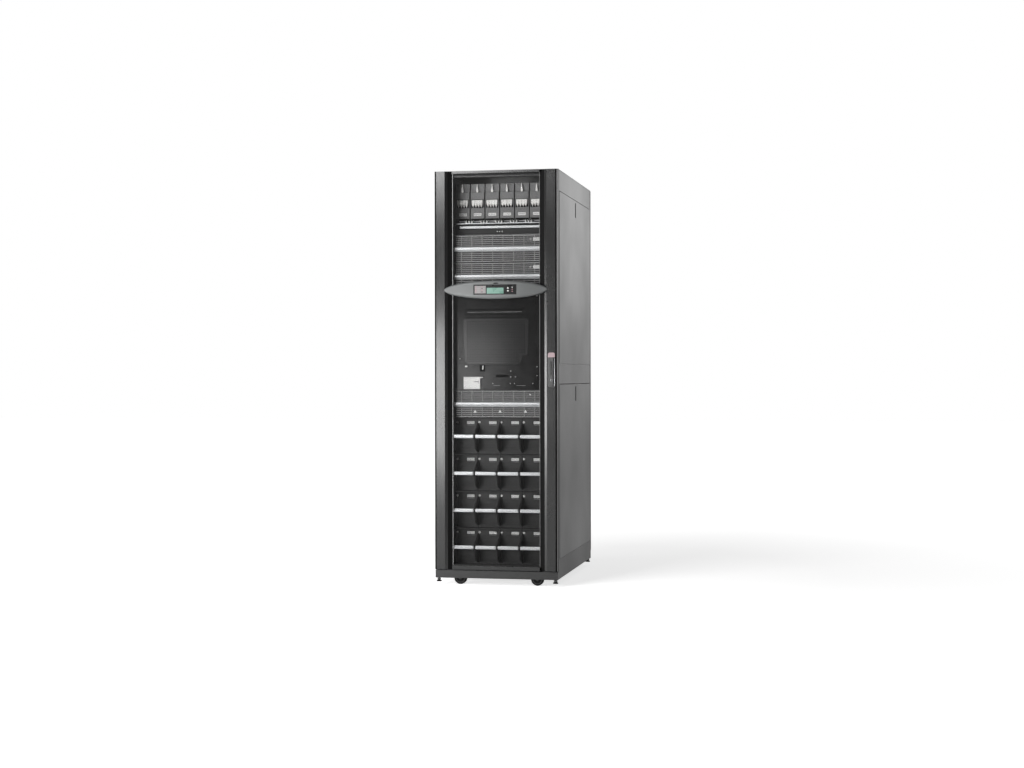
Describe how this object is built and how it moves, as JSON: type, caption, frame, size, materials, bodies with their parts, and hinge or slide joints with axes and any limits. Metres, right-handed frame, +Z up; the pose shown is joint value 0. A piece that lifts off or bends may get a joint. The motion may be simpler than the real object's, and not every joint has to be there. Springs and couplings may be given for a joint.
{
  "type": "modular ups cabinet",
  "caption": "Tall black rack cabinet for uninterruptible power, with a perforated hinged front door, bowed display strip, slide-in power, battery and distribution modules, on swivel casters.",
  "frame": {"origin": "on the floor, at the middle of the overall box's footprint", "axes": "+X to the cabinet's right as seen from the front, +Y to the rear, +Z up; the front door faces -Y"},
  "size_m": [0.6, 1.07, 1.991],
  "materials": {
    "frame_paint": "satin black powder coat",
    "panel_paint": "satin black powder coat, slightly sheened",
    "door_paint": "satin black powder coat",
    "mesh_paint": "matt black powder coat",
    "bay_paint": "matt black powder coat",
    "module_black": "fine texture",
    "satin_bar": "satin anodised",
    "vent_grey": "matt",
    "label_white": "matt",
    "toggle_white": "matt",
    "pointer_grey": "matt",
    "bezel_grey": "satin moulding",
    "display_black": "smooth",
    "screen_green": "lcd",
    "key_grey": "rubbery",
    "handle_black": "fine texture",
    "latch_black": "fine texture",
    "zinc_steel": "zinc plated",
    "wheel_grey": "hard nylon tread"
  },
  "bodies": {
    "cabinet": {"plinths": "frame_paint", "base_sills": "frame_paint", "base_plate": "frame_paint", "corner_posts": "frame_paint", "roof_rails": "frame_paint", "mid_rails": "panel_paint", "roof_panel": "panel_paint", "lower_side_panels": "panel_paint", "upper_side_panels": "panel_paint", "panel_latches": "latch_black", "rear_doors": "panel_paint", "levelling_feet": "zinc_steel", "bay_walls": "bay_paint", "bay_shelves": "bay_paint", "battery_modules": "module_black", "battery_bars": "satin_bar", "power_modules": "module_black", "power_bars": "satin_bar", "service_chassis": "bay_paint", "service_vent": "vent_grey", "service_box": "label_white", "breaker_modules": "module_black", "breaker_toggles": "toggle_white", "breaker_pointers": "pointer_grey", "breaker_tray": "bay_paint", "cable_bar": "satin_bar", "caster_plates": "zinc_steel"},
    "front_door": {"door_stiles": "door_paint", "door_rails": "door_paint", "door_mesh": "mesh_paint", "display_bezel": "bezel_grey", "display_panel": "display_black", "display_screen": "screen_green", "display_keys": "key_grey", "handle_plate": "handle_black"},
    "handle_hub": {"handle_hub": "zinc_steel"},
    "handle_lever": {"handle_lever": "handle_black"},
    "caster_fork_front_right": {"fork_front_right": "zinc_steel"},
    "caster_wheel_front_right": {"wheel_front_right": "wheel_grey"},
    "caster_fork_front_left": {"fork_front_left": "zinc_steel"},
    "caster_wheel_front_left": {"wheel_front_left": "wheel_grey"},
    "caster_fork_rear_right": {"fork_rear_right": "zinc_steel"},
    "caster_wheel_rear_right": {"wheel_rear_right": "wheel_grey"},
    "caster_fork_rear_left": {"fork_rear_left": "zinc_steel"},
    "caster_wheel_rear_left": {"wheel_rear_left": "wheel_grey"}
  },
  "joints": [
    {"name": "front_door_hinge", "type": "hinge", "parent": "cabinet", "child": "front_door", "pos_m": [-0.291, -0.507, 1.033], "axis": [0, 0, -1], "range_deg": [0, 110]},
    {"name": "handle_turn", "type": "hinge", "parent": "front_door", "child": "handle_hub", "pos_m": [0.272, -0.5218, 1.0845], "axis": [0, 1, 0], "range_deg": [0, 90]},
    {"name": "handle_pull", "type": "hinge", "parent": "handle_hub", "child": "handle_lever", "pos_m": [0.272, -0.5284, 1.0845], "axis": [-1, 0, 0], "range_deg": [0, 25]},
    {"name": "caster_swivel_front_right", "type": "hinge", "parent": "cabinet", "child": "caster_fork_front_right", "pos_m": [0.211, -0.44, 0.0702], "axis": [0, 0, 1], "continuous": true},
    {"name": "caster_roll_front_right", "type": "hinge", "parent": "caster_fork_front_right", "child": "caster_wheel_front_right", "pos_m": [0.189, -0.44, 0.031], "axis": [0, 1, 0], "continuous": true},
    {"name": "caster_swivel_front_left", "type": "hinge", "parent": "cabinet", "child": "caster_fork_front_left", "pos_m": [-0.211, -0.44, 0.0702], "axis": [0, 0, 1], "continuous": true},
    {"name": "caster_roll_front_left", "type": "hinge", "parent": "caster_fork_front_left", "child": "caster_wheel_front_left", "pos_m": [-0.189, -0.44, 0.031], "axis": [0, 1, 0], "continuous": true},
    {"name": "caster_swivel_rear_right", "type": "hinge", "parent": "cabinet", "child": "caster_fork_rear_right", "pos_m": [0.211, 0.44, 0.0702], "axis": [0, 0, 1], "continuous": true},
    {"name": "caster_roll_rear_right", "type": "hinge", "parent": "caster_fork_rear_right", "child": "caster_wheel_rear_right", "pos_m": [0.189, 0.44, 0.031], "axis": [0, 1, 0], "continuous": true},
    {"name": "caster_swivel_rear_left", "type": "hinge", "parent": "cabinet", "child": "caster_fork_rear_left", "pos_m": [-0.211, 0.44, 0.0702], "axis": [0, 0, 1], "continuous": true},
    {"name": "caster_roll_rear_left", "type": "hinge", "parent": "caster_fork_rear_left", "child": "caster_wheel_rear_left", "pos_m": [-0.189, 0.44, 0.031], "axis": [0, 1, 0], "continuous": true}
  ]
}
